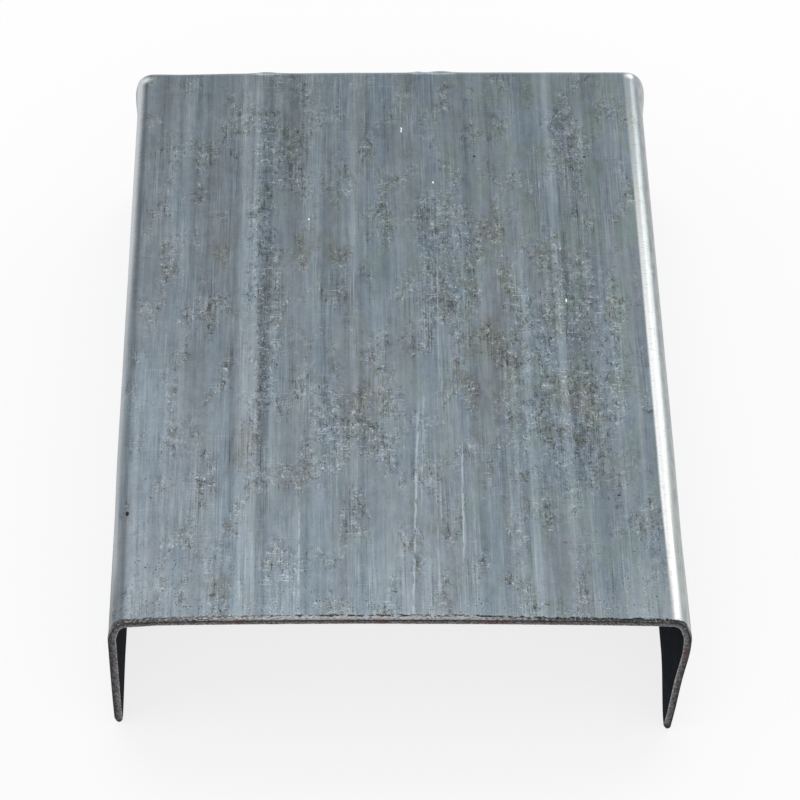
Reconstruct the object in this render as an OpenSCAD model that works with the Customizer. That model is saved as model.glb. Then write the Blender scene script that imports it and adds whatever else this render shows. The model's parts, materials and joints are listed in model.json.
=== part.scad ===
// A short length of U-shaped channel, bent from one flat sheet.
// It lies on the edges of its two flanges, with its web on top.
// X runs across the web, Y along the length and Z up.
// The origin is on the floor, under the middle of the web.

/* [Section] */
// Overall width, over the outsides of both flanges
web_w = 150; // [60:1:300]
// Height of the flanges, from their lower edges to the top of the web
flange_h = 50; // [20:1:120]
// Thickness of the sheet, the same in the web, the bends and the flanges
sheet_t = 2; // [1.4:0.1:4]
// Inside radius of the two bends
bend_r = 2.3; // [1:0.1:8]
// Radius on the long corners of the flanges' slit edges
edge_r = 0.6; // [0.1:0.05:0.65]

/* [Length] */
// Length between the two sheared ends
piece_l = 197; // [50:1:600]

/* [Hidden] */
$fn = 96;

// The outside of a bend lies one sheet thickness outside its inside radius.
bend_r_out = bend_r + sheet_t;
// Clear width between the flanges, and clear height under the web
inside_w = web_w - 2 * sheet_t;
inside_h = flange_h - sheet_t;
// How far a cut runs past the face that it opens
past = 1;

// A flat block, with its foot at y = 0 and its two upper corners rounded
module shouldered_block(w, h, r) {
    translate([-w / 2, 0]) square([w, h - r]);
    translate([-w / 2 + r, 0]) square([w - 2 * r, h]);
    for (side = [-1, 1])
        translate([side * (w / 2 - r), h - r]) circle(r);
}

// What rounding takes off a square corner that points to -x and -y
module corner_waste(r) {
    difference() {
        translate([-past, -past]) square(r + past);
        translate([r, r]) circle(r);
        translate([r, -past]) square([past, r + past]);
        translate([-past, r]) square([r + past, past]);
    }
}

// The U section: sheet of one thickness, folded down at both sides
module channel_section() {
    difference() {
        shouldered_block(web_w, flange_h, bend_r_out);
        translate([0, -past])
            shouldered_block(inside_w, inside_h + past, bend_r);
        for (side = [0, 1]) mirror([side, 0]) {
            translate([-web_w / 2, 0]) corner_waste(edge_r);
            translate([-inside_w / 2, 0]) mirror([1, 0]) corner_waste(edge_r);
        }
    }
}

module channel() {
    color([0.49, 0.53, 0.56])
        rotate([90, 0, 0])
            linear_extrude(piece_l, center = true) channel_section();
}

channel();
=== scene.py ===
import json
import math
import bpy
from mathutils import Matrix, Vector, noise

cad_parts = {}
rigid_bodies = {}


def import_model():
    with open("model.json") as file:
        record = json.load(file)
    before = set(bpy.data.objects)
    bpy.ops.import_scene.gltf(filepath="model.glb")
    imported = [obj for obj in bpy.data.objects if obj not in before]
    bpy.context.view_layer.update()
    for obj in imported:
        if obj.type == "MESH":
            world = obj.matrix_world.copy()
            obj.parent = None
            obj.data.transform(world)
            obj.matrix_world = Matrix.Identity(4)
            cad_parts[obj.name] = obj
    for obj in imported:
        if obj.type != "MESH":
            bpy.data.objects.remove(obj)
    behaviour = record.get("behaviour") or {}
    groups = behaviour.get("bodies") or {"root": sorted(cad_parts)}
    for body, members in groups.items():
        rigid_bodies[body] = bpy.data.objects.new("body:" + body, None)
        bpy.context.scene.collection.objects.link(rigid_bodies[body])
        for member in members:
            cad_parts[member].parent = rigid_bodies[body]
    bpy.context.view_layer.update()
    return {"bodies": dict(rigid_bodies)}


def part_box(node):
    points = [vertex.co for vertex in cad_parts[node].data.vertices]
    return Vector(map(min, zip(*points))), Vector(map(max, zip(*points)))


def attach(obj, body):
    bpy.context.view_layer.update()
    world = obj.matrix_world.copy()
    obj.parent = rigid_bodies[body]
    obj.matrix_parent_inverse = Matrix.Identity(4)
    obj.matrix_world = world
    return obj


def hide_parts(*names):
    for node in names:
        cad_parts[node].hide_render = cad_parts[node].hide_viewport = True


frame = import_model()
boxLow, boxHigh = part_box("channel")

mm = 0.001
size = boxHigh - boxLow
half = size / 2
mathNode = "ShaderNodeMath"
mapNode = "ShaderNodeMapRange"
mixNode = "ShaderNodeMixRGB"
vectorNode = "ShaderNodeVectorMath"
soft = {"interpolation_type": "SMOOTHSTEP"}     # a range with both its ends eased


# adds one node with its settings; an input takes a number, a colour, a node or a socket
def addNode(tree, kind, inputs=None, **settings):
    node = tree.nodes.new(kind)
    for name, value in settings.items():
        setattr(node, name, value)
    for key, value in (inputs or {}).items():
        if isinstance(value, bpy.types.Node):
            value = value.outputs[0]
        if isinstance(value, bpy.types.NodeSocket):
            tree.links.new(value, node.inputs[key])
        else:
            node.inputs[key].default_value = value
    return node


# sRGB hex to the linear colour that nodes take
def hexColour(text):
    parts = [int(text[i:i + 2], 16) / 255 for i in (1, 3, 5)]
    return [p / 12.92 if p <= 0.04045 else ((p + 0.055) / 1.055) ** 2.4 for p in parts] + [1.0]


def smoothStep(start, end, value):
    share = min(max((value - start) / (end - start), 0.0), 1.0)
    return share * share * (3 - 2 * share)


# the camera, aimed at a point on top of the web
camera = {
    "lens": 127.6, "elevation": 51.82, "yaw": 2.51, "roll": 2.10,   # mm, and degrees
    "distance": 5.131, "aimAcross": 0.0071, "aimAlong": -0.1318,    # shares of the web's width and length
    "clipStart": 0.01,                                              # m
}


def makeCamera():
    tilt = math.radians(camera["elevation"])
    forward = Vector((0, math.cos(tilt), -math.sin(tilt)))
    forward.rotate(Matrix.Rotation(-math.radians(camera["yaw"]), 3, "Z"))
    side = forward.cross(Vector((0, 0, 1))).normalized()
    side.rotate(Matrix.Rotation(-math.radians(camera["roll"]), 3, forward))
    over = side.cross(forward)
    aim = Vector((camera["aimAcross"] * size.x, camera["aimAlong"] * size.y, boxHigh.z))
    lens = bpy.data.cameras.new("camera")
    lens.lens = camera["lens"]
    lens.clip_start = camera["clipStart"]
    eye = bpy.data.objects.new("camera", lens)
    turned = Matrix((side, over, -forward)).transposed().to_4x4()
    eye.matrix_world = Matrix.Translation(aim - forward * camera["distance"] * size.x) @ turned
    bpy.context.collection.objects.link(eye)
    bpy.context.scene.camera = eye


makeCamera()
bpy.context.scene.view_settings.view_transform = "Standard"
print("camera set")

# the floor, the world and the lamps
stage = {"floorReach": 3.0,        # m
         "floorPaper": "#f4f4f4", "white": "#ffffff", "whiteShare": 0.8, "worldLight": 0.85}
softBoxes = {       # where each one stands, how wide and tall it is, all in m, and how bright its face is
    "backRightBox": {"at": (0.78, 0.93, 0.68), "wide": 0.55, "tall": 0.6, "bright": 2.2},
    "topBox": {"at": (-0.16, 0.5, 1.4), "wide": 0.8, "tall": 0.6, "bright": 1.9},
    "leftBox": {"at": (-1.2, -0.3, 0.8), "wide": 0.7, "tall": 0.7, "bright": 1.1},
}


# how much of what a ray meets is shown as plain white: only for what is looked at, straight or mirrored
def whiteForSight(tree, share):
    path = addNode(tree, "ShaderNodeLightPath")
    seen = addNode(tree, mathNode, {0: path.outputs["Is Camera Ray"], 1: path.outputs["Is Glossy Ray"]},
                   operation="MAXIMUM")
    seen = addNode(tree, mathNode, {0: seen, 1: path.outputs["Is Transmission Ray"]}, operation="MAXIMUM")
    return addNode(tree, mathNode, {0: seen, 1: share}, operation="MULTIPLY")


def makeFloor():
    reach = stage["floorReach"]
    mesh = bpy.data.meshes.new("floor")
    corners = [(-reach, -reach), (reach, -reach), (reach, reach), (-reach, reach)]
    mesh.from_pydata([(x, y, boxLow.z) for x, y in corners], [], [(0, 1, 2, 3)])
    # matt studio paper: near white, and shows only a soft shadow
    paper = bpy.data.materials.new("paleFloorPaper")
    paper.use_nodes = True
    tree = paper.node_tree
    tree.nodes.clear()
    matt = addNode(tree, "ShaderNodeBsdfDiffuse", {"Color": hexColour(stage["floorPaper"])})
    white = addNode(tree, "ShaderNodeEmission", {"Color": hexColour(stage["white"]), "Strength": 1.0})
    mix = addNode(tree, "ShaderNodeMixShader",
                  {0: whiteForSight(tree, stage["whiteShare"]), 1: matt, 2: white})
    addNode(tree, "ShaderNodeOutputMaterial", {"Surface": mix})
    mesh.materials.append(paper)
    floor = bpy.data.objects.new("floor", mesh)
    bpy.context.collection.objects.link(floor)


def makeWorld():
    world = bpy.data.worlds.new("studio")
    bpy.context.scene.world = world
    world.use_nodes = True
    tree = world.node_tree
    tree.nodes.clear()
    light = addNode(tree, "ShaderNodeBackground",
                    {"Color": hexColour(stage["white"]), "Strength": stage["worldLight"]})
    white = addNode(tree, "ShaderNodeBackground", {"Color": hexColour(stage["white"]), "Strength": 1.0})
    mix = addNode(tree, "ShaderNodeMixShader", {0: whiteForSight(tree, 1.0), 1: light, 2: white})
    addNode(tree, "ShaderNodeOutputWorld", {"Surface": mix})


def makeLamps():
    for name, box in softBoxes.items():
        lamp = bpy.data.lights.new(name, "AREA")
        lamp.shape = "RECTANGLE"
        lamp.size = box["wide"]
        lamp.size_y = box["tall"]
        lamp.energy = box["bright"] * box["wide"] * box["tall"] * math.pi
        holder = bpy.data.objects.new(name, lamp)
        holder.location = box["at"]
        toPart = Vector((0, 0, size.z / 2)) - holder.location
        holder.rotation_euler = toPart.to_track_quat("-Z", "Y").to_euler()
        bpy.context.collection.objects.link(holder)


makeFloor()
makeWorld()
makeLamps()
print("stage set")

# the channel's sizes
form = {
    "sheet": 2.0, "bendInside": 2.3, "slitRound": 1.0,      # mm
    "columns": 300, "rows": 140, "layers": 8,               # the flat sheet's grid
    "webColumns": 0.62, "bendColumns": 0.09,                # shares of the columns of one half
    "rowCrowding": 1.8,                                     # 1 spreads the rows evenly
    "sharpAngle": 52,                                       # degrees: an edge that turns more stays sharp
}
bendOut = (form["bendInside"] + form["sheet"]) * mm
bendMid = (form["bendInside"] + form["sheet"] / 2) * mm
webHalf = half.x - bendOut
bendLength = bendMid * math.pi / 2
blankHalf = webHalf + bendLength + size.z - bendOut
webEdge = webHalf / mm          # where the web ends and a bend starts, across the flat sheet
lengthHalf = half.y / mm

# the channel's finishes: all patterns lie on the flat sheet, in mm across it and along its rolling
# direction, so they follow the metal round the bends
skinLooks = {
    "outer": {"name": "weatheredMillSkin", "marked": True,
              "cool": "#6c7881", "warm": "#6e767d", "green": "#6b7778",
              "pale": "#a9b3b9", "dark": "#222527",
              # fold: the colour of a painted dark reflection beside the left bend
              "stain": "#65645c", "stainFar": "#61695e", "rust": "#5a2f22", "fold": "#50575e",
              # the bend colours are painted highlights and sheen, the right bend's over some real rubbing;
              # the first also lightens the pale specks behind the lip, and the last the pale flakes
              "rubbedAndHighlight": "#b1b6b4", "outerSheen": "#b2b7b8", "leftHighlight": "#c6cbcf", "highlightAndFlecks": "#f4f5f5",
              "lipPale": "#908e8f", "lipDark": "#3b3a3a",
              "metallic": 0.92, "roughness": 0.31, "edgeTint": "#ffffff"},
    # the inside's colours and its dark edge tint are painted shade, standing in for the shadow inside the
    # channel
    "inner": {"name": "innerSkinPaintedShade", "marked": False,
              "cool": "#25292e", "warm": "#282a2d", "green": "#29313b",
              "pale": "#40454b", "dark": "#131314",
              "stain": "#1b1b1a", "stainFar": "#1b1b1a", "rubbedAndHighlight": "#2d2f32",
              "lipPale": "#323437", "lipDark": "#1e1e1f",
              "metallic": 0.7, "roughness": 0.85, "edgeTint": "#181c22"},
}
# size across and along, finer octaves, curl, the part of the noise that is used, and its tone at both ends;
# on real sheet the finest lines and grit are under 0.1 mm, so here they are wide enough to show
grain = {           # everywhere
    "wideBands": (3.4, 260.0, 1.0, 0.0, 0.25, 0.75, -0.17, 0.17),
    "narrowBands": (1.5, 150.0, 1.0, 0.0, 0.25, 0.75, -0.09, 0.09),
    "streaks": (0.9, 30.0, 2.0, 0.0, 0.25, 0.75, -0.09, 0.09),
    "softBlots": (2.2, 4.0, 3.0, 0.5, 0.3, 0.7, -0.08, 0.08),
    "clouds": (9.0, 20.0, 3.0, 0.0, 0.25, 0.75, -0.13, 0.13),
    "grit": (0.40, 0.5, 1.0, 0.0, 0.3, 0.7, -0.045, 0.045),
}
rollLines = {       # where the rolling lines are plain
    "darkLines": (0.34, 26.0, 1.0, 0.0, 0.33, 0.41, -0.24, 0.0),
    "paleLines": (0.32, 20.0, 1.0, 0.0, 0.59, 0.67, 0.0, 0.24),
    "shortLines": (0.45, 6.0, 2.0, 0.0, 0.3, 0.7, -0.10, 0.10),
    "crossLines": (14.0, 0.40, 2.0, 0.3, 0.61, 0.71, 0.0, 0.20),
}
mottle = {          # where the skin is blotched
    "darkCurls": (0.85, 1.15, 2.0, 1.2, 0.31, 0.38, -0.62, 0.0),
    "paleCurls": (0.75, 0.95, 2.0, 1.4, 0.62, 0.69, 0.0, 0.85),
    "darkDashes": (0.45, 3.0, 2.0, 0.3, 0.30, 0.37, -0.46, 0.0),
    "paleDashes": (3.0, 0.48, 2.0, 0.5, 0.63, 0.70, 0.0, 0.60),
    "blots": (1.8, 3.0, 3.0, 0.6, 0.3, 0.7, -0.18, 0.16),
}
threads = (         # curly thin threads: size across and along, seed, the seed of their gaps, and their tone
    (2.0, 2.6, 141.0, 161.0, 0.75), (2.8, 3.4, 150.1, 170.1, -0.60))
patterns = {        # size across and along, seed, finer octaves, curl
    "blotches": (7.0, 15.0, 61.0, 5.0, 0.4), "streaky": (0.9, 6.0, 83.0, 4.0), "rolled": (7.0, 35.0, 97.0),
    "warmth": (8.0, 60.0, 150.0, 3.0), "greenness": (6.0, 14.0, 170.0, 3.0), "pitting": (0.6, 0.7, 210.0),
    "clusters": (4.0, 6.0, 219.0), "scratchBreaks": (0.8, 3.5, 230.0), "wobble": (12.0, 3.0, 237.0, 3.0),
    "rustGrain": (0.4, 0.4, 250.0), "hairlines": (1.8, 0.35, 270.0, 3.0, 0.4),
    "scuffs": (1.0, 5.5, 275.0, 4.0, 0.4), "flaked": (0.5, 0.7, 281.0), "crumbs": (0.5, 0.4, 290.0, 3.0),
    "scrape": (0.9, 0.34, 300.0, 4.0), "grooveBreaks": (1.9, 0.6, 310.0, 4.0),
}
# areas with more of the mottle and of the stain: each one's middle, and half its width and length
mottledAreas = ((45, -14, 27, 62), (-37, 12, 6, 84), (-12, -36, 24, 20), (14, 26, 17, 44), (-28, -82, 7, 9),
                (52, 66, 9, 24), (-33, 66, 10, 22))
stainedAreas = ((27, -4, 13, 56), (27, 36, 8, 13), (-48, 28, 6, 15), (-20, 28, 11, 13), (-8, -28, 13, 16),
                (48, -28, 15, 20), (-42, -42, 9, 12), (-46, -88, 5, 7), (-30, 72, 8, 22))
# roll marks, and three wide strips of painted light: the near end and the near left of the web painted
# lighter, the far half darker
rollMarksAndPaintedLight = {       # where it is across, how far it leans per mm along, its width, its two ends and its tone
    "paleBand": (-40.3, -0.008, 4.6, -98, 98, 0.20), "paleBandLine": (-39.4, 0.0, 0.8, -98, 98, 0.10),
    "darkStreak": (-35.9, 0.0, 2.8, -42, 98, -0.20), "darkFlank": (-44.4, 0.0, 1.5, -70, 98, -0.14),
    "leftShade": (-51.0, 0.0, 6.5, -18, 98, -0.09),
    "leftPale": (-67.2, 0.0, 2.4, -90, 62, 0.09), "leftPaleLine": (-62.4, 0.0, 1.8, -92, 60, 0.08),
    "middlePale": (-24.6, 0.004, 2.4, -35, 60, 0.05), "middleLine": (12.2, 0.0, 1.2, -60, 60, 0.12),
    "rightPale": (45.5, 0.0, 1.7, -98, 98, 0.27), "rightFlank": (48.9, 0.0, 3.2, -60, 98, -0.10),
    "rightFlankIn": (40.6, 0.0, 3.0, -60, 98, -0.08), "rightPaleIn": (36.1, 0.0, 1.9, -98, 32, 0.18),
    "rightShade": (54.4, 0.0, 6.0, -85, 60, -0.06), "nearRightPale": (64.0, 0.0, 13.0, -104, -87, 0.22),
    # nearLeftPaintedLight: painted light on the near left of the web
    "nearLeftBend": (-71.5, 0.0, 5.0, -110, 10, 0.14), "nearLeftPaintedLight": (-61.0, 0.0, 26.0, -104, -20, 0.06),
    "innerShade": (-30.0, 0.0, 5.0, -98, 98, -0.07), "rightEdgePale": (66.0, 0.0, 12.0, -98, 98, 0.06),
    "leftEdgePale": (-66.0, 0.0, 14.0, -98, 98, 0.03), "middleFar": (7.0, 0.0, 12.0, 0, 98, 0.035),
    # nearEndPaintedLight and farPaintedShade: painted light at the near end and painted shade over the far
    # half
    "rightMiddle": (22.0, 0.0, 13.0, -98, 98, -0.03), "nearEndPaintedLight": (8.0, 0.0, 132.0, -110, -80, 0.06),
    "farPaintedShade": (8.0, 0.0, 130.0, -20, 110, -0.02),
}
scratches = {       # the same, for thin bright scratches
    "longScratch": (7.4, 0.041, 0.6, -98, -31, 0.50), "besideIt": (8.9, 0.041, 0.4, -62, -20, 0.35),
    "thirdScratch": (10.4, 0.0, 0.4, -92, -44, 0.22), "leftScratch": (-25.7, 0.0, 0.4, -95, -62, 0.48),
    "wavyScratch": (18.6, 0.02, 0.45, -78, -42, 0.60),
    "nearScratch": (20.2, 0.0, 0.4, -93, -58, 0.25), "topScratch": (12.3, 0.01, 0.3, -20, 30, 0.25),
}
softness = {"rollMark": (0.45, 10), "scratch": (0.2, 6)}        # of each one's sides and ends, in mm
# single spots: each one's middle across and along, and half its width and length
flakes = ((2.9, 74.8, 0.34, 1.4), (11.8, 53.8, 0.26, 0.6), (48.0, 9.0, 0.4, 0.8), (-24.0, 39.6, 0.35, 0.4))
# painted highlights where the two bends meet the far end, standing in for the rolled-over corners catching
# the light
paintedCornerHighlights = ((-72.3, 96.4, 1.9, 1.9), (71.2, 97.2, 1.8, 1.7))
pits = ((24.0, 64.1, 0.5, 0.5), (-71.4, -64.2, 0.5, 1.0), (58.6, -58.5, 0.5, 0.4), (56.1, 63.9, 0.4, 0.5))
rustSpots = ((69.3, -63.4, 0.6, 1.3), (43.5, -74.0, 0.9, 0.5))
bendMarks = {       # marks along the bends, a painted dark reflection and painted highlights: six numbers as for the roll marks, then their softness
    "leftBendDarkReflection": (-72.0, 0.0, 0.9, -120, 120, 0.6, 0.4, 10),             # painted dark reflection, where the left bend starts
    # painted highlight along the left bend
    "leftBendHighlight": (-webEdge - 3.95, 0.003, 2.8, -84, 120, 0.9, 0.75, 10),
    # the right bend's rub, brightened into a painted highlight
    "rightBendRubAndHighlight": (webEdge + 0.7, -0.006, 2.4, -120, 120, 1.0, 0.6, 10),
    # painted sheen on the outer part of the right bend
    "rightBendOuterSheen": (webEdge + 4.3, 0.004, 5.2, -120, 120, 0.95, 2.0, 10),
    "rightFlatHighlight": (webEdge, 0.0, 1.6, -200, 40, 0.72, 0.35, 60),      # painted highlight on the flat beside the right bend, in the near half
}
seeds = {           # where each table's noises start, and the step from one to the next
    "grain": 3.0, "mottle": 103.0, "rollLines": 203.0, "next": 11.7,
}
skin = {            # tones are 1 where the skin is plain
    "streaksInStain": 0.9, "areaPull": 0.20, "greenGain": 1.4, "darkestTone": 0.35, "palestTone": 2.4,
    "threadCurl": 0.9, "threadWidth": 0.03, "threadGaps": (2.4, 2.9), "scratchWobble": 0.6,
    # how strong the corners' painted highlights are:
    "paintedCornerHighlight": 0.7,
}
roughened = {"stain": 0.10, "streaks": 0.12, "rubAndHighlight": -0.10}      # what each adds to the roughness
relief = {"depth": 0.012, "lines": 1.5, "pits": -3.0}           # mm, and shares of it


# a noise stretched along the sheet; its seed moves it to another part of the pattern
def sheetNoise(tree, place, across, along, seed, detail=2.0, distortion=0.0):
    scaled = addNode(tree, vectorNode, {0: place, 1: (1 / across, 1 / along, 1.0), 2: (seed, seed, seed)},
                     operation="MULTIPLY_ADD")
    return addNode(tree, "ShaderNodeTexNoise", {"Vector": scaled, "Scale": 1.0, "Detail": detail,
                                                "Distortion": distortion})


# the tone of a whole table of patterns, one noise for each
def grainTone(tree, place, layers, firstSeed):
    tone = 0.0
    for index, layer in enumerate(layers.values()):
        wide, long, octaves, curl, low, high, lowTone, highTone = layer
        pattern = sheetNoise(tree, place, wide, long, firstSeed + seeds["next"] * index, octaves, curl)
        pattern = addNode(tree, mapNode, {"Value": pattern, "From Min": low, "From Max": high,
                                          "To Min": lowTone, "To Max": highTone})
        tone = addNode(tree, mathNode, {0: pattern, 1: tone}, operation="ADD")
    return tone


# 1 inside a long narrow strip and 0 outside, with soft sides and ends
def strip(tree, across, along, mark):
    at, lean, width, nearEnd, farEnd, strength, softSide, softEnd = mark
    middle = addNode(tree, mathNode, {0: along, 1: -lean, 2: -at}, operation="MULTIPLY_ADD")
    away = addNode(tree, mathNode, {0: across, 1: middle}, operation="ADD")
    away = addNode(tree, mathNode, {0: away}, operation="ABSOLUTE")
    inside = addNode(tree, mapNode, {"Value": away, "From Min": width / 2 + softSide,
                                     "From Max": max(width / 2 - softSide, 0.0), "To Max": strength}, **soft)
    fromMiddle = addNode(tree, mathNode, {0: along, 1: (nearEnd + farEnd) / 2}, operation="SUBTRACT")
    fromMiddle = addNode(tree, mathNode, {0: fromMiddle}, operation="ABSOLUTE")
    reach = (farEnd - nearEnd) / 2
    ends = addNode(tree, mapNode, {"Value": fromMiddle, "From Min": reach + softEnd,
                                   "From Max": reach - softEnd}, **soft)
    return addNode(tree, mathNode, {0: inside, 1: ends}, operation="MULTIPLY")


# the strongest of several oval spots: 1 in the middle of each, falling to 0 at its rim
def ovalSpots(tree, place, ovals, sharp):
    strongest = 0.0
    for at, along, wide, tall in ovals:
        offset = addNode(tree, vectorNode, {0: place, 1: (at, along, 0.0)}, operation="SUBTRACT")
        offset = addNode(tree, vectorNode, {0: offset, 1: (1 / wide, 1 / tall, 0.0)}, operation="MULTIPLY")
        away = addNode(tree, vectorNode, {0: offset}, operation="LENGTH").outputs["Value"]
        inside = addNode(tree, mapNode, {"Value": away, "From Min": 1.0, "From Max": sharp}, **soft)
        strongest = addNode(tree, mathNode, {0: inside, 1: strongest}, operation="MAXIMUM")
    return strongest


# where the mottle is, and where the stain is, which breaks into short streaks
def blotchShares(tree, place, look):
    blotches = sheetNoise(tree, place, *patterns["blotches"])
    streaky = sheetNoise(tree, place, *patterns["streaky"])
    stain = addNode(tree, mathNode, {0: streaky, 1: skin["streaksInStain"], 2: blotches},
                    operation="MULTIPLY_ADD")
    mottled = blotches
    if look["marked"]:
        inMottle = ovalSpots(tree, place, mottledAreas, 0.2)
        inStain = ovalSpots(tree, place, stainedAreas, 0.2)
        mottled = addNode(tree, mathNode, {0: inMottle, 1: skin["areaPull"], 2: mottled},
                          operation="MULTIPLY_ADD")
        stain = addNode(tree, mathNode, {0: inStain, 1: skin["areaPull"], 2: stain},
                        operation="MULTIPLY_ADD")
    mottled = addNode(tree, mapNode, {"Value": mottled, "From Min": 0.46, "From Max": 0.66,
                                      "To Min": 0.10, "To Max": 1.1}, **soft)
    stain = addNode(tree, mapNode, {"Value": stain, "From Min": 0.99, "From Max": 1.23,
                                    "To Max": 0.52}, **soft)
    return mottled, stain, streaky


# the curls of the mottle, with thin threads that break off
def mottleTone(tree, place):
    curls = grainTone(tree, place, mottle, seeds["mottle"])
    for wide, long, seed, gapSeed, threadTone in threads:
        thread = sheetNoise(tree, place, wide, long, seed, 2.0, skin["threadCurl"])
        thread = addNode(tree, mathNode, {0: thread, 1: 0.5}, operation="SUBTRACT")
        thread = addNode(tree, mathNode, {0: thread}, operation="ABSOLUTE")
        thread = addNode(tree, mapNode, {"Value": thread, "From Min": skin["threadWidth"], "From Max": 0.0,
                                         "To Max": threadTone})
        gaps = addNode(tree, mapNode, {"Value": sheetNoise(tree, place, *skin["threadGaps"], gapSeed),
                                       "From Min": 0.50, "From Max": 0.57})
        curls = addNode(tree, mathNode, {0: thread, 1: gaps, 2: curls}, operation="MULTIPLY_ADD")
    return curls


# tone, where 1 is plain: the mottle in its areas, the rolling lines, the grain, then the roll marks and the
# web's painted light, lighter at the near end and near left and darker in the far half
def skinTone(tree, place, across, along, look, mottled):
    curls = addNode(tree, mathNode, {0: mottleTone(tree, place), 1: mottled}, operation="MULTIPLY")
    lineShare = addNode(tree, mapNode, {"Value": sheetNoise(tree, place, *patterns["rolled"]),
                                        "From Min": 0.40, "From Max": 0.60, "To Min": 0.25, "To Max": 1.1})
    lined = grainTone(tree, place, rollLines, seeds["rollLines"])
    lined = addNode(tree, mathNode, {0: lined, 1: lineShare}, operation="MULTIPLY")
    tone = addNode(tree, mathNode, {0: curls, 1: lined}, operation="ADD")
    grained = grainTone(tree, place, grain, seeds["grain"])
    tone = addNode(tree, mathNode, {0: grained, 1: tone}, operation="ADD")
    if look["marked"]:
        for mark in rollMarksAndPaintedLight.values():
            rolled = strip(tree, across, along, mark + softness["rollMark"])
            tone = addNode(tree, mathNode, {0: rolled, 1: tone}, operation="ADD")
    tone = addNode(tree, mathNode, {0: tone, 1: 1.0}, operation="ADD")
    tone = addNode(tree, mathNode, {0: tone, 1: skin["darkestTone"]}, operation="MAXIMUM")
    # inside only: painted shade, darker by the bends and lighter towards the slit edges
    if not look["marked"]:
        width = addNode(tree, mathNode, {0: across}, operation="ABSOLUTE")
        paintedShadeByBend = addNode(tree, mapNode, {"Value": width, "From Min": webEdge, "From Max": blankHalf / mm,
                                         "To Min": 0.8, "To Max": 1.35})
        tone = addNode(tree, mathNode, {0: tone, 1: paintedShadeByBend}, operation="MULTIPLY")
    return tone, lined


# three greys and the stain, darkened or paled by the tone
def skinColour(tree, place, across, along, look, tone, stain):
    toRight = addNode(tree, mapNode, {"Value": across, "From Min": -75.0, "From Max": 75.0})
    warmShare = sheetNoise(tree, place, *patterns["warmth"])
    warmShare = addNode(tree, mathNode, {0: toRight, 1: -0.09, 2: warmShare}, operation="MULTIPLY_ADD")
    warmShare = addNode(tree, mapNode, {"Value": warmShare, "From Min": 0.33, "From Max": 0.57}, **soft)
    colour = addNode(tree, mixNode, {0: warmShare, 1: hexColour(look["cool"]), 2: hexColour(look["warm"])})
    greenShare = addNode(tree, mapNode, {"Value": sheetNoise(tree, place, *patterns["greenness"]),
                                         "From Min": 0.44, "From Max": 0.62}, **soft)
    farHalf = addNode(tree, mapNode, {"Value": along, "From Min": -50.0, "From Max": 10.0, "To Min": 0.65})
    for factor in (farHalf, toRight, skin["greenGain"]):
        greenShare = addNode(tree, mathNode, {0: greenShare, 1: factor}, operation="MULTIPLY")
    colour = addNode(tree, mixNode, {0: greenShare, 1: colour, 2: hexColour(look["green"])})
    farStain = addNode(tree, mapNode, {"Value": along, "From Min": 10.0, "From Max": 60.0}, **soft)
    stainColour = addNode(tree, mixNode, {0: farStain, 1: hexColour(look["stain"]),
                                          2: hexColour(look["stainFar"])})
    colour = addNode(tree, mixNode, {0: stain, 1: colour, 2: stainColour})
    darker = addNode(tree, mathNode, {0: tone, 1: 1.0}, operation="MINIMUM")
    colour = addNode(tree, vectorNode, {0: colour, "Scale": darker}, operation="SCALE").outputs[0]
    paler = addNode(tree, mapNode, {"Value": tone, "From Min": 1.0, "From Max": skin["palestTone"]})
    return addNode(tree, mixNode, {0: paler, 1: colour, 2: hexColour(look["pale"])})


# fine dark pits in clusters, mostly towards the near corners
def skinPits(tree, place, across, along, clusters):
    pitting = addNode(tree, mapNode, {"Value": sheetNoise(tree, place, *patterns["pitting"]),
                                      "From Min": 0.63, "From Max": 0.69}, **soft)
    width = addNode(tree, mathNode, {0: across}, operation="ABSOLUTE")
    nearHalf = addNode(tree, mapNode, {"Value": along, "From Min": 10.0, "From Max": -90.0}, **soft)
    outerWeb = addNode(tree, mapNode, {"Value": width, "From Min": 10.0, "From Max": 70.0}, **soft)
    outerWeb = addNode(tree, mathNode, {0: outerWeb, 1: nearHalf}, operation="MULTIPLY")
    nearLip = addNode(tree, mapNode, {"Value": along, "From Min": -78.0, "From Max": -97.0}, **soft)
    outerWeb = addNode(tree, mathNode, {0: outerWeb, 1: nearLip}, operation="MAXIMUM")
    offBends = addNode(tree, mapNode, {"Value": width, "From Min": 72.0, "From Max": 68.0, "To Min": 0.2})
    outerWeb = addNode(tree, mathNode, {0: outerWeb, 1: offBends}, operation="MULTIPLY")
    outerWeb = addNode(tree, mathNode, {0: outerWeb, 1: clusters}, operation="MULTIPLY")
    return addNode(tree, mathNode, {0: pitting, 1: outerWeb}, operation="MULTIPLY")


# bright scratches that waver and break off
def brightScratches(tree, place, across, along):
    breaks = addNode(tree, mapNode, {"Value": sheetNoise(tree, place, *patterns["scratchBreaks"]),
                                     "From Min": 0.36, "From Max": 0.52}, **soft)
    wobble = sheetNoise(tree, place, *patterns["wobble"])
    wobble = addNode(tree, mathNode, {0: wobble, 1: skin["scratchWobble"], 2: across},
                     operation="MULTIPLY_ADD")
    bright = 0.0
    for mark in scratches.values():
        scratch = strip(tree, wobble, along, mark + softness["scratch"])
        bright = addNode(tree, mathNode, {0: scratch, 1: bright}, operation="MAXIMUM")
    return addNode(tree, mathNode, {0: bright, 1: breaks}, operation="MULTIPLY")
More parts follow.
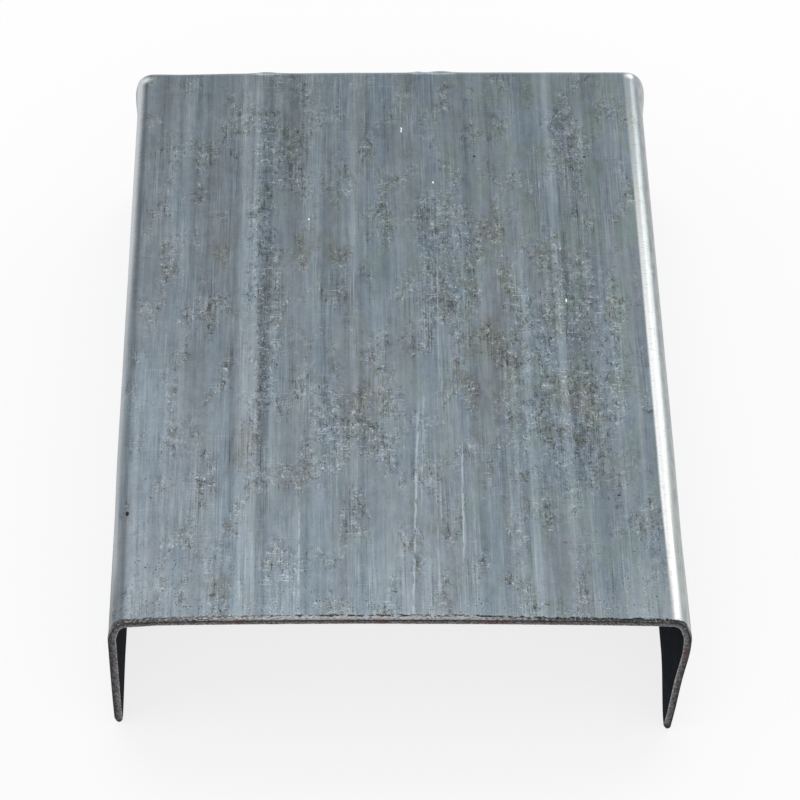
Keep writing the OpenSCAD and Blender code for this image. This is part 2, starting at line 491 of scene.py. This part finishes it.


# the painted dark reflection along the left bend and the painted highlights of both bends, the right one
# over some real rubbing, by colour, from the lowest up
def bendRubsAndPaintedLight(tree, place, across, along):
    # the painted dark reflection and the left painted highlight are stronger towards the far end
    farShare = addNode(tree, mapNode, {"Value": along, "From Min": -8.0, "From Max": 35.0,
                                       "To Min": 0.6}, **soft)
    # the right bend's painted highlight is brighter towards the near end
    nearShare = addNode(tree, mapNode, {"Value": along, "From Min": 98.0, "From Max": -75.0,
                                        "To Min": 0.35})
    hairlines = addNode(tree, mapNode, {"Value": sheetNoise(tree, place, *patterns["hairlines"]),
                                        "From Min": 0.52, "From Max": 0.72,
                                        "To Min": 1.0, "To Max": 0.55}, **soft)
    scuffs = addNode(tree, mapNode, {"Value": sheetNoise(tree, place, *patterns["scuffs"]),
                                     "From Min": 0.30, "From Max": 0.60, "To Min": 0.55}, **soft)
    closed = addNode(tree, mapNode, {"Value": along, "From Min": -50.0, "From Max": -98.0,
                                     "To Max": -1.2}, **soft)
    closed = addNode(tree, mathNode, {0: closed, 1: across}, operation="ADD")
    bendShares = {}
    for coat, name, sideways, factors in (
            # the fold coat is a painted dark reflection
            ("fold", "leftBendDarkReflection", across, [farShare]),
            ("leftHighlight", "leftBendHighlight", across, [farShare, hairlines]),
            ("outerSheen", "rightBendOuterSheen", across, [hairlines, scuffs]),
            ("rubbedAndHighlight", "rightBendRubAndHighlight", across, [nearShare, hairlines]),
            ("highlightAndFlecks", "rightFlatHighlight", closed, [hairlines])):
        share = strip(tree, sideways, along, bendMarks[name])
        for factor in factors:
            share = addNode(tree, mathNode, {0: share, 1: factor}, operation="MULTIPLY")
        bendShares[coat] = share
    return bendShares


# rust specks; a few pale flakes and two painted corner highlights
def rustFlakesAndHighlights(tree, place):
    rustGrain = addNode(tree, mapNode, {"Value": sheetNoise(tree, place, *patterns["rustGrain"]),
                                        "From Min": 0.42, "From Max": 0.55}, **soft)
    rust = addNode(tree, mathNode, {0: ovalSpots(tree, place, rustSpots, 0.3), 1: rustGrain},
                   operation="MULTIPLY")
    flaked = addNode(tree, mapNode, {"Value": sheetNoise(tree, place, *patterns["flaked"]),
                                     "From Min": 0.40, "From Max": 0.48})
    flaked = addNode(tree, mathNode, {0: ovalSpots(tree, place, flakes, 0.4), 1: flaked},
                     operation="MULTIPLY")
    # the two corners' painted highlights, joined with the pale flakes
    highlightsAndFlakes = addNode(tree, mathNode, {0: ovalSpots(tree, place, paintedCornerHighlights, 0.0), 1: skin["paintedCornerHighlight"]},
                     operation="MULTIPLY")
    highlightsAndFlakes = addNode(tree, mathNode, {0: highlightsAndFlakes, 1: flaked}, operation="MAXIMUM")
    return rust, highlightsAndFlakes


# the lip at the near end: scraped pale in its middle and dark at its corners
def lipColour(tree, place, across, look):
    lipMiddle = addNode(tree, mapNode, {"Value": across, "From Min": -74.0, "From Max": -25.0}, **soft)
    lipCorner = addNode(tree, mapNode, {"Value": across, "From Min": 52.0, "From Max": 12.0}, **soft)
    lipMiddle = addNode(tree, mathNode, {0: lipMiddle, 1: lipCorner}, operation="MULTIPLY")
    scrape = sheetNoise(tree, place, *patterns["scrape"])
    lipMiddle = addNode(tree, mathNode, {0: scrape, 1: 4.6, 2: lipMiddle}, operation="MULTIPLY_ADD")
    lipMiddle = addNode(tree, mapNode, {"Value": lipMiddle, "From Min": 2.3, "From Max": 3.5})
    return addNode(tree, mixNode, {0: lipMiddle, 1: hexColour(look["lipDark"]),
                                   2: hexColour(look["lipPale"])})


# the skin's two ends: the lip, the groove and the pale crumbs behind it, and the bright far rim
def wornEnds(tree, place, across, along, look, colour, wear, clusters):
    crumbs = sheetNoise(tree, place, *patterns["crumbs"])
    wear = addNode(tree, mathNode, {0: crumbs, 1: 1.0, 2: wear}, operation="MULTIPLY_ADD")
    wear = addNode(tree, mathNode, {0: wear, 1: 0.5}, operation="SUBTRACT")
    onLip = addNode(tree, mapNode, {"Value": wear, "From Min": 0.1, "From Max": -0.1}, **soft)
    colour = addNode(tree, mixNode, {0: onLip, 1: colour, 2: lipColour(tree, place, across, look)})
    groove = addNode(tree, mathNode, {0: wear}, operation="ABSOLUTE")
    groove = addNode(tree, mapNode, {"Value": groove, "From Min": 0.42, "From Max": 0.15}, **soft)
    breaks = addNode(tree, mapNode, {"Value": sheetNoise(tree, place, *patterns["grooveBreaks"]),
                                     "From Min": 0.42, "From Max": 0.53}, **soft)
    groove = addNode(tree, mathNode, {0: groove, 1: breaks}, operation="MULTIPLY")
    leftLip = addNode(tree, mapNode, {"Value": across, "From Min": -60.0, "From Max": -22.0,
                                      "To Min": 0.35}, **soft)
    groove = addNode(tree, mathNode, {0: groove, 1: leftLip}, operation="MULTIPLY")
    farRim = addNode(tree, mapNode, {"Value": along, "From Min": lengthHalf - 1.1,
                                     "From Max": lengthHalf - 0.3, "To Max": 0.4}, **soft)
    specks = addNode(tree, mapNode, {"Value": crumbs, "From Min": 0.61, "From Max": 0.66}, **soft)
    specks = addNode(tree, mathNode, {0: specks, 1: clusters}, operation="MULTIPLY")
    speckReach = addNode(tree, mapNode, {"Value": along, "From Min": -89.0, "From Max": -96.5,
                                         "To Max": 0.75}, **soft)
    specks = addNode(tree, mathNode, {0: specks, 1: speckReach}, operation="MULTIPLY")
    for share, coat in ((groove, "dark"), (farRim, "pale"), (specks, "rubbedAndHighlight")):
        colour = addNode(tree, mixNode, {0: share, 1: colour, 2: hexColour(look[coat])})
    return colour


# Rolled mill skin. Outside it has weathered: dull blue-grey metal with lengthwise rolling lines, blotched
# areas of olive-brown stain with a fine curly mottle, and a few scratches, pits and rust specks; over it lie
# painted highlights on the bends, the right one over real rubbing, a painted dark reflection beside the left
# bend, two painted corner highlights, and the web painted lighter at the near end and darker in the far
# half.
# Inside it is near black, matt and almost plain: painted shade, darkest by the bends.
def makeSkin(look):
    material = bpy.data.materials.new(look["name"])
    material.use_nodes = True
    tree = material.node_tree
    tree.nodes.clear()
    blank = addNode(tree, "ShaderNodeAttribute", attribute_name="blank").outputs["Vector"]
    wear = addNode(tree, "ShaderNodeAttribute", attribute_name="pastLip").outputs["Fac"]
    place = addNode(tree, vectorNode, {0: blank, 1: (1 / mm, 1 / mm, 0.0)}, operation="MULTIPLY")
    across, along, _ = addNode(tree, "ShaderNodeSeparateXYZ", {0: place}).outputs

    mottled, stain, streaky = blotchShares(tree, place, look)
    tone, lined = skinTone(tree, place, across, along, look, mottled)
    colour = skinColour(tree, place, across, along, look, tone, stain)
    clusters = addNode(tree, mapNode, {"Value": sheetNoise(tree, place, *patterns["clusters"]),
                                       "From Min": 0.42, "From Max": 0.58})
    pitting = skinPits(tree, place, across, along, clusters)

    # what lies over the skin, from the lowest up: where it is, and its colour
    rubAndHighlight = 0.0
    coats = []
    if look["marked"]:
        rust, highlightsAndFlakes = rustFlakesAndHighlights(tree, place)
        # painted highlights and a painted dark reflection along the bends
        bendShares = bendRubsAndPaintedLight(tree, place, across, along)
        # the right bend's rub with its painted highlight, which also makes the metal smoother there
        rubAndHighlight = bendShares["rubbedAndHighlight"]
        coats = [(brightScratches(tree, place, across, along), "pale"), (rust, "rust")]
        coats += [(share, coat) for coat, share in bendShares.items()]
        # the corners' painted highlights and the pale flakes, in one near-white coat
        coats += [(highlightsAndFlakes, "highlightAndFlecks")]
        pitting = addNode(tree, mathNode, {0: pitting, 1: ovalSpots(tree, place, pits, 0.5)},
                          operation="MAXIMUM")
    for share, coat in coats + [(pitting, "dark")]:
        colour = addNode(tree, mixNode, {0: share, 1: colour, 2: hexColour(look[coat])})
    colour = wornEnds(tree, place, across, along, look, colour, wear, clusters)

    roughness = look["roughness"]
    for share, added in ((stain, "stain"), (streaky, "streaks"), (rubAndHighlight, "rubAndHighlight")):
        roughness = addNode(tree, mathNode, {0: share, 1: roughened[added], 2: roughness},
                            operation="MULTIPLY_ADD")
    height = addNode(tree, mathNode, {0: lined, 1: relief["lines"]}, operation="MULTIPLY")
    height = addNode(tree, mathNode, {0: pitting, 1: relief["pits"], 2: height}, operation="MULTIPLY_ADD")
    bumps = addNode(tree, "ShaderNodeBump", {"Height": height, "Distance": relief["depth"] * mm,
                                             "Strength": 1.0})
    metal = addNode(tree, "ShaderNodeBsdfPrincipled", {
        "Base Color": colour, "Metallic": look["metallic"], "Roughness": roughness, "Normal": bumps,
        "Specular Tint": hexColour(look["edgeTint"])})
    addNode(tree, "ShaderNodeOutputMaterial", {"Surface": metal})
    return material


cutLooks = {
    "sheared": {"name": "shearedEnd", "metallic": 0.6, "roughness": 0.55,
                "torn": "#191819", "smooth": "#5d5c5e", "burr": "#8b898c", "rust": "#47292b"},
    "slit": {"name": "slitEdge", "metallic": 0.6, "roughness": 0.5,
             "torn": "#3b3a3b", "smooth": "#4d4c4d", "burr": "#616160", "rust": "#4a3a34"},
}
cutPatterns = {     # how many times each repeats in a mm
    "grit": (1.7, 1.7, 2.0), "patches": 1.9, "rust": 0.11,
    "gritDepth": 0.12, "tipDarkens": 3.0, "tipDark": 0.9,       # mm, the last two from the flange's tip
}


# A cut edge of sheet metal: torn, dull grey and pitted, with a brighter burr along its inner side.
def makeCut(look):
    material = bpy.data.materials.new(look["name"])
    material.use_nodes = True
    tree = material.node_tree
    tree.nodes.clear()
    blank = addNode(tree, "ShaderNodeAttribute", attribute_name="blank").outputs["Vector"]
    place = addNode(tree, vectorNode, {0: blank, 1: (1 / mm, 1 / mm, 1 / mm)}, operation="MULTIPLY")
    across, _, depth = addNode(tree, "ShaderNodeSeparateXYZ", {0: place}).outputs
    tip = addNode(tree, mathNode, {0: across}, operation="ABSOLUTE")
    tip = addNode(tree, mapNode, {"Value": tip, "From Min": blankHalf / mm - cutPatterns["tipDarkens"],
                                  "From Max": blankHalf / mm - cutPatterns["tipDark"],
                                  "To Min": 1.0, "To Max": 0.18}, **soft)
    grit = addNode(tree, vectorNode, {0: place, 1: cutPatterns["grit"]}, operation="MULTIPLY")
    grit = addNode(tree, "ShaderNodeTexNoise", {"Vector": grit, "Scale": 1.0, "Detail": 5.0,
                                                "Distortion": 0.5})
    tear = addNode(tree, mathNode, {0: depth, 1: -0.24, 2: grit}, operation="MULTIPLY_ADD")
    tear = addNode(tree, mapNode, {"Value": tear, "From Min": 0.32, "From Max": 0.62}, **soft)
    colour = addNode(tree, mixNode, {0: tear, 1: hexColour(look["torn"]), 2: hexColour(look["smooth"])})
    patches = addNode(tree, "ShaderNodeTexNoise", {"Vector": place, "Scale": cutPatterns["patches"],
                                                   "Detail": 3.0, "Distortion": 0.8})
    patches = addNode(tree, mapNode, {"Value": patches, "From Min": 0.35, "From Max": 0.65,
                                      "To Min": 0.2, "To Max": 2.0})
    rust = addNode(tree, "ShaderNodeTexNoise", {"Vector": place, "Scale": cutPatterns["rust"],
                                                "Detail": 3.0})
    rust = addNode(tree, mapNode, {"Value": rust, "From Min": 0.52, "From Max": 0.66, "To Max": 0.6}, **soft)
    colour = addNode(tree, mixNode, {0: rust, 1: colour, 2: hexColour(look["rust"])})
    edge = addNode(tree, mathNode, {0: grit, 1: 0.8, 2: depth}, operation="MULTIPLY_ADD")
    burr = addNode(tree, mapNode, {"Value": edge, "From Min": -0.20, "From Max": -0.50,
                                   "To Max": 0.75}, **soft)
    colour = addNode(tree, mixNode, {0: burr, 1: colour, 2: hexColour(look["burr"])})
    patches = addNode(tree, mathNode, {0: patches, 1: tip}, operation="MULTIPLY")
    colour = addNode(tree, vectorNode, {0: colour, "Scale": patches}, operation="SCALE").outputs[0]
    bumps = addNode(tree, "ShaderNodeBump", {"Height": grit, "Distance": cutPatterns["gritDepth"] * mm,
                                             "Strength": 1.0})
    metal = addNode(tree, "ShaderNodeBsdfPrincipled", {
        "Base Color": colour, "Metallic": look["metallic"], "Roughness": look["roughness"],
        "Normal": bumps})
    addNode(tree, "ShaderNodeOutputMaterial", {"Surface": metal})
    return material


outerSkin = makeSkin(skinLooks["outer"])
innerSkin = makeSkin(skinLooks["inner"])
shearedEnd = makeCut(cutLooks["sheared"])
slitEdge = makeCut(cutLooks["slit"])
print("finishes made")


# the channel is a flat sheet, folded by its own tree
def makeFoldTree():
    tree = bpy.data.node_groups.new("foldedSheet", "GeometryNodeTree")
    tree.interface.new_socket("Geometry", in_out="INPUT", socket_type="NodeSocketGeometry")
    tree.interface.new_socket("Geometry", in_out="OUTPUT", socket_type="NodeSocketGeometry")
    given = {}
    for name, kind, value in (
            ("Columns", "NodeSocketInt", form["columns"] + 1), ("Rows", "NodeSocketInt", form["rows"] + 1),
            ("Layers", "NodeSocketInt", form["layers"] + 1),
            ("Row crowding", "NodeSocketFloat", form["rowCrowding"]),
            ("Half length", "NodeSocketFloat", half.y), ("Height", "NodeSocketFloat", size.z),
            ("Web half width", "NodeSocketFloat", webHalf),
            ("Blank half width", "NodeSocketFloat", blankHalf),
            ("Sheet", "NodeSocketFloat", form["sheet"] * mm), ("Bend radius", "NodeSocketFloat", bendMid),
            ("Slit round", "NodeSocketFloat", form["slitRound"] * mm)):
        given[tree.interface.new_socket(name, in_out="INPUT", socket_type=kind).identifier] = value
    entry = addNode(tree, "NodeGroupInput").outputs
    block = addNode(tree, "GeometryNodeMeshCube", {
        "Vertices X": entry["Columns"], "Vertices Y": entry["Rows"], "Vertices Z": entry["Layers"]})
    facing = addNode(tree, "GeometryNodeCaptureAttribute", {"Geometry": block}, domain="FACE")
    facing.capture_items.new("VECTOR", "Facing")
    tree.links.new(addNode(tree, "GeometryNodeInputNormal").outputs[0], facing.inputs["Facing"])
    across, along, through = addNode(tree, "ShaderNodeSeparateXYZ",
                                     {0: addNode(tree, "GeometryNodeInputPosition")}).outputs

    # rows crowd towards the two sheared ends
    alongSize = addNode(tree, mathNode, {0: along}, operation="ABSOLUTE")
    fromEnd = addNode(tree, mathNode, {0: alongSize, 1: -2.0, 2: 1.0}, operation="MULTIPLY_ADD")
    fromEnd = addNode(tree, mathNode, {0: fromEnd, 1: 0.0}, operation="MAXIMUM")
    fromEnd = addNode(tree, mathNode, {0: fromEnd, 1: entry["Row crowding"]}, operation="POWER")
    fromMiddle = addNode(tree, mathNode, {0: 1.0, 1: fromEnd}, operation="SUBTRACT")
    endSign = addNode(tree, mathNode, {0: along}, operation="SIGN")
    fromMiddle = addNode(tree, mathNode, {0: fromMiddle, 1: endSign}, operation="MULTIPLY")
    alongPlace = addNode(tree, mathNode, {0: fromMiddle, 1: entry["Half length"]}, operation="MULTIPLY")

    # columns are close round the bends and wide apart on the flanges
    acrossShare = addNode(tree, mathNode, {0: across}, operation="ABSOLUTE")
    acrossShare = addNode(tree, mathNode, {0: acrossShare, 1: 2.0}, operation="MULTIPLY")
    spread = addNode(tree, "ShaderNodeFloatCurve", {"Value": acrossShare})
    line = spread.mapping.curves[0]
    line.points[0].location = (0, 0)
    line.points[1].location = (1, 1)
    line.points.new(form["webColumns"], webHalf / blankHalf)
    line.points.new(form["webColumns"] + form["bendColumns"], (webHalf + bendLength) / blankHalf)
    for point in line.points:
        point.handle_type = "VECTOR"
    spread.mapping.update()
    acrossPlace = addNode(tree, mathNode, {0: spread, 1: entry["Blank half width"]}, operation="MULTIPLY")

    # layers crowd towards the two skins, and the slit edges' corners are rounded
    depth = addNode(tree, mathNode, {0: through, 1: math.pi}, operation="MULTIPLY")
    depth = addNode(tree, mathNode, {0: depth}, operation="SINE")
    halfSheet = addNode(tree, mathNode, {0: entry["Sheet"], 1: 0.5}, operation="MULTIPLY")
    depth = addNode(tree, mathNode, {0: depth, 1: halfSheet}, operation="MULTIPLY")
    depthSize = addNode(tree, mathNode, {0: depth}, operation="ABSOLUTE")
    toSkin = addNode(tree, mathNode, {0: halfSheet, 1: depthSize}, operation="SUBTRACT")
    leg = addNode(tree, mathNode, {0: entry["Slit round"], 1: toSkin}, operation="SUBTRACT")
    leg = addNode(tree, mathNode, {0: leg, 1: 0.0}, operation="MAXIMUM")
    leg = addNode(tree, mathNode, {0: leg, 1: 2.0}, operation="POWER")
    chord = addNode(tree, mathNode, {0: entry["Slit round"], 1: 2.0}, operation="POWER")
    chord = addNode(tree, mathNode, {0: chord, 1: leg}, operation="SUBTRACT")
    chord = addNode(tree, mathNode, {0: chord}, operation="SQRT")
    inset = addNode(tree, mathNode, {0: entry["Slit round"], 1: chord}, operation="SUBTRACT")
    limit = addNode(tree, mathNode, {0: entry["Blank half width"], 1: inset}, operation="SUBTRACT")
    acrossPlace = addNode(tree, mathNode, {0: acrossPlace, 1: limit}, operation="MINIMUM")

    # the fold: a flat web, a quarter turn, then the flange straight down
    flat = addNode(tree, mathNode, {0: acrossPlace, 1: entry["Web half width"]}, operation="MINIMUM")
    pastWeb = addNode(tree, mathNode, {0: acrossPlace, 1: entry["Web half width"]}, operation="SUBTRACT")
    turn = addNode(tree, mathNode, {0: pastWeb, 1: entry["Bend radius"]}, operation="DIVIDE")
    turn = addNode(tree, "ShaderNodeClamp", {"Value": turn, "Min": 0.0, "Max": math.pi / 2})
    turned = addNode(tree, mathNode, {0: turn, 1: entry["Bend radius"]}, operation="MULTIPLY")
    hang = addNode(tree, mathNode, {0: pastWeb, 1: turned}, operation="SUBTRACT")
    hang = addNode(tree, mathNode, {0: hang, 1: 0.0}, operation="MAXIMUM")
    radius = addNode(tree, mathNode, {0: entry["Bend radius"], 1: depth}, operation="ADD")
    outShare = addNode(tree, mathNode, {0: turn}, operation="SINE")
    upShare = addNode(tree, mathNode, {0: turn}, operation="COSINE")
    outward = addNode(tree, mathNode, {0: radius, 1: outShare, 2: flat}, operation="MULTIPLY_ADD")
    acrossSign = addNode(tree, mathNode, {0: across}, operation="SIGN")
    bendCentre = addNode(tree, mathNode, {0: entry["Height"], 1: entry["Bend radius"]}, operation="SUBTRACT")
    bendCentre = addNode(tree, mathNode, {0: bendCentre, 1: halfSheet}, operation="SUBTRACT")
    rise = addNode(tree, mathNode, {0: radius, 1: upShare, 2: bendCentre}, operation="MULTIPLY_ADD")
    rise = addNode(tree, mathNode, {0: rise, 1: hang}, operation="SUBTRACT")
    outward = addNode(tree, mathNode, {0: outward, 1: acrossSign}, operation="MULTIPLY")
    folded = addNode(tree, "ShaderNodeCombineXYZ", {0: outward, 1: alongPlace, 2: rise})
    acrossPlace = addNode(tree, mathNode, {0: acrossPlace, 1: acrossSign}, operation="MULTIPLY")
    flatPlace = addNode(tree, "ShaderNodeCombineXYZ", {0: acrossPlace, 1: alongPlace, 2: depth})

    shape = addNode(tree, "GeometryNodeStoreNamedAttribute",
                    {"Geometry": facing.outputs["Geometry"], "Name": "blank", "Value": flatPlace},
                    data_type="FLOAT_VECTOR", domain="POINT")
    shape = addNode(tree, "GeometryNodeSetPosition", {"Geometry": shape, "Position": folded})
    shape = addNode(tree, "GeometryNodeRealizeInstances", {"Geometry": shape})
    faceX, faceY, faceZ = addNode(tree, "ShaderNodeSeparateXYZ", {0: facing.outputs["Facing"]}).outputs
    endShare = addNode(tree, mathNode, {0: faceY}, operation="ABSOLUTE")
    slitShare = addNode(tree, mathNode, {0: faceX}, operation="ABSOLUTE")
    innerShare = addNode(tree, mathNode, {0: faceZ, 1: -1.0}, operation="MULTIPLY")
    for share, material in ((faceZ, outerSkin), (innerShare, innerSkin), (endShare, shearedEnd),
                            (slitShare, slitEdge)):
        chosen = addNode(tree, mathNode, {0: share, 1: 0.5}, operation="GREATER_THAN")
        shape = addNode(tree, "GeometryNodeSetMaterial", {"Geometry": shape, "Selection": chosen,
                                                          "Material": material})
    addNode(tree, "NodeGroupOutput", {0: shape})
    return tree, given


def foldSheet():
    tree, given = makeFoldTree()
    builder = bpy.data.objects.new("sheetBlank", bpy.data.meshes.new("sheetBlank"))
    bpy.context.collection.objects.link(builder)
    fold = builder.modifiers.new("fold", "NODES")
    fold.node_group = tree
    for identifier, value in given.items():
        fold[identifier] = value
    folded = builder.evaluated_get(bpy.context.evaluated_depsgraph_get())
    mesh = bpy.data.meshes.new_from_object(folded)
    mesh.name = "foldedChannel"
    mesh.materials.pop(index=0)         # the block's own slot, which is empty
    builder.modifiers.remove(fold)
    bpy.data.objects.remove(builder)
    bpy.data.node_groups.remove(tree)
    return mesh


# what forming, cutting and handling did to the channel
warp = {    # mm, apart from the shares; a reach is how far from an end of the sheet a change is felt
    # the web's ends, its crown and the corner that sags
    "trimNear": 0.6, "trimFar": 0.35, "skewNear": -0.05, "skewFar": 0.97,
    "slantLeft": 0.0, "slantRight": 1.4, "slantReach": 30.0,
    "crownNear": 1.2, "crownFar": 0.3, "crownShare": 0.75,
    "sagLeft": 0.6, "sagRight": 0.0, "sagReach": 16.0, "sagWide": 9.0,
    "wave": 0.06, "waveWide": 26.0, "waveLong": 34.0,
    # the flanges' flare at the far end, from where it starts below the top to where it has eased
    "flareLeft": 1.1, "flareRight": 1.6, "flareReachLeft": 15.0, "flareReachRight": 18.0,
    "flareTop": 1.0, "flareFull": 8.0, "flareEases": 0.85, "flareEndLeft": 19.0, "flareEndRight": 15.0,
    # the flanges' lean, and how they close in, bow out and lean in at the tip at the near end
    "leanLeft": 0.85, "leanRight": 0.3, "narrowLeft": 0.08, "narrowRight": 0.0, "narrowFrom": 0.8,
    "closeLeft": 0.9, "closeRight": 0.9, "closeReach": 60.0, "closeTop": 3.0, "closeEnd": 8.0,
    "bowLeft": 0.0, "bowRight": 0.85, "bowDown": 12.5, "bowTall": 10.5, "bowReach": 60.0,
    "tipLeft": 0.35, "tipRight": 1.2, "tipReach": 24.0,
    # the near cut
    "rollOver": 0.16, "rollReach": 0.8, "lipDepth": 1.15, "lipRight": 0.4, "lipRightFrom": 12.0,
    "lipRightTo": 45.0, "lipRag": 0.15, "lipDrop": 0.08, "lipStep": 0.4, "gouge": 0.06, "gougeWide": 0.35,
    "swellLeft": 0.26, "swellRight": 0.14, "swellReach": 2.5, "swellFull": 0.3, "swellTop": 4.0,
    "swellDown": 9.0, "burr": 0.10, "burrReach": 0.9,
    # the far cut
    "farBurr": 0.25, "farReach": 1.2, "farLevel": 0.1,
    "cornerDip": 0.12, "dipPast": 1.8, "dipWide": 1.6, "dipReach": 1.8,
    # the torn faces and the near tips' chips
    "fracture": 0.09, "faceWithin": 1e-4, "chipLeft": 0.9, "chipRight": 0.8, "chipReach": 2.6,
}
farBumps = (        # where a burr stands up on the far cut, how wide it is and how high
    (-60.0, 9.0, -0.3), (-37.0, 3.5, 0.5), (8.0, 1.6, 0.4), (15.0, 4.0, 0.55))


def warpSheet(mesh):
    pastLip = mesh.attributes.new("pastLip", "FLOAT", "POINT")
    flat = mesh.attributes["blank"].data
    lipValues = []
    tall = size.z / mm
    halfSheet = form["sheet"] / 2
    for vertex in mesh.vertices:
        across, along, depth = flat[vertex.index].vector / mm
        x, y, z = vertex.co / mm
        side, hand = (1, "Right") if across > 0 else (-1, "Left")
        width = abs(across)
        turn = min(max((width - webEdge) / (bendMid / mm), 0.0), math.pi / 2)
        nearShare = 0.5 - along / (2 * lengthHalf)
        fromNear = lengthHalf + along
        fromFar = lengthHalf - along
        down = tall - z
        outer = max(depth / halfSheet, 0.0)
        inner = max(-depth / halfSheet, 0.0)

        # the web is crowned and a little out of square, and sags at a near corner
        crown = warp["crownFar"] + (warp["crownNear"] - warp["crownFar"]) * nearShare ** 1.5
        lift = crown * (warp["crownShare"] - min(width / webEdge, 1.0) ** 2) * z / tall
        lift -= warp["sag" + hand] * smoothStep(warp["sagReach"], 0.0, fromNear) * (
            smoothStep(webEdge - warp["sagWide"], webEdge, width) * z / tall)
        shift = warp["trimNear"] * nearShare - warp["trimFar"] * (1 - nearShare)
        shift += (warp["skewNear"] * nearShare + warp["skewFar"] * (1 - nearShare)) * x / (half.x / mm)
        shift -= warp["slant" + hand] * smoothStep(warp["slantReach"], 0.0, fromNear) * down / tall

        # the flanges flare at the far end; at the near end they close in, bow out and lean in at the tip
        spread = warp["flare" + hand] * smoothStep(warp["flareReach" + hand], 0.0, fromFar)
        spread *= smoothStep(warp["flareTop"], warp["flareFull"], down) * (
            1 - warp["flareEases"] * smoothStep(warp["flareFull"], warp["flareEnd" + hand], down))
        spread += warp["lean" + hand] * nearShare * down / tall
        webRim = smoothStep(webEdge * warp["narrowFrom"], webEdge, width)
        spread -= warp["narrow" + hand] * webRim
        spread -= warp["close" + hand] * smoothStep(warp["closeReach"], 0.0, fromNear) * (
            webRim * (1 - smoothStep(warp["closeTop"], warp["closeEnd"], down)))
        spread += warp["bow" + hand] * smoothStep(warp["bowReach"], 0.0, fromNear) * math.exp(
            -((down - warp["bowDown"]) / warp["bowTall"]) ** 2)
        spread -= warp["tip" + hand] * smoothStep(warp["tipReach"], 0.0, fromNear) * (down / tall) ** 3

        # the shear rolled the outer corner over, scraped a lip, swelled the flanges and left a burr
        rag = noise.noise((across * 0.3, 5.0, 0.0)) + 0.6 * noise.noise((across * 0.9, 9.0, 0.0))
        lipEnd = warp["lipDepth"]
        lipEnd -= warp["lipRight"] * smoothStep(warp["lipRightFrom"], warp["lipRightTo"], across)
        lipEnd += warp["lipRag"] * rag
        lipValues.append(fromNear - lipEnd)
        out = warp["wave"] * noise.noise((across / warp["waveWide"], along / warp["waveLong"], 2.0))
        out -= outer * warp["rollOver"] * (1 - min(fromNear / warp["rollReach"], 1.0)) ** 2
        out -= outer * warp["lipDrop"] * smoothStep(lipEnd, lipEnd - warp["lipStep"], fromNear)
        groove = math.exp(-((fromNear - lipEnd) / warp["gougeWide"]) ** 2)
        out -= outer * warp["gouge"] * (0.5 + rag) * groove
        out += outer * warp["swell" + hand] * smoothStep(warp["swellReach"], warp["swellFull"], fromNear) * (
            smoothStep(warp["swellTop"], warp["swellDown"], down))
        out -= inner * warp["burr"] * (0.8 + rag * 0.5) * (1 - min(fromNear / warp["burrReach"], 1.0)) ** 2
        bump = 0.35 * noise.noise((across * 0.13, 21.0, 0.0)) * warp["farBurr"]
        for at, wide, high in farBumps:
            bump += high * math.exp(-((across - at) / wide) ** 2)
        out += outer * (bump - warp["farLevel"]) * (1 - min(fromFar / warp["farReach"], 1.0)) ** 2
        dip = math.exp(-((width - webEdge - warp["dipPast"]) / warp["dipWide"]) ** 2)
        out -= warp["cornerDip"] * dip * (1 - min(fromFar / warp["dipReach"], 1.0)) ** 1.5

        # the cut faces are torn, and the near tips chipped
        push = 0.0
        if min(fromNear, fromFar) < warp["faceWithin"]:
            rough = noise.noise((across * 0.8, depth * 1.6, 40.0))
            rough += 0.5 * noise.noise((across * 2.3, depth * 3, 50.0))
            push = warp["fracture"] * rough * (1 - (depth / halfSheet) ** 2)
            push *= 1 if fromNear < fromFar else -1
        toCorner = math.hypot(fromNear, max(blankHalf / mm - form["slitRound"] - width, 0.0))
        chip = max(1 - toCorner / warp["chipReach"], 0.0) ** 1.5
        chip *= warp["chip" + hand] * (0.75 + 0.65 * abs(depth / halfSheet) ** 2 if side < 0 else inner)
        lift += chip
        push += chip / 2
        vertex.co = Vector((x + side * (spread + math.sin(turn) * out), y + shift + push,
                            z + lift + math.cos(turn) * out)) * mm
    pastLip.data.foreach_set("value", lipValues)


mesh = foldSheet()
warpSheet(mesh)
mesh.shade_smooth()
mesh.set_sharp_from_angle(angle=math.radians(form["sharpAngle"]))
channel = bpy.data.objects.new("foldedChannel", mesh)
bpy.context.collection.objects.link(channel)
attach(channel, list(frame["bodies"])[0])
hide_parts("channel")
print("channel:", len(mesh.vertices), "points,", len(mesh.polygons), "faces")
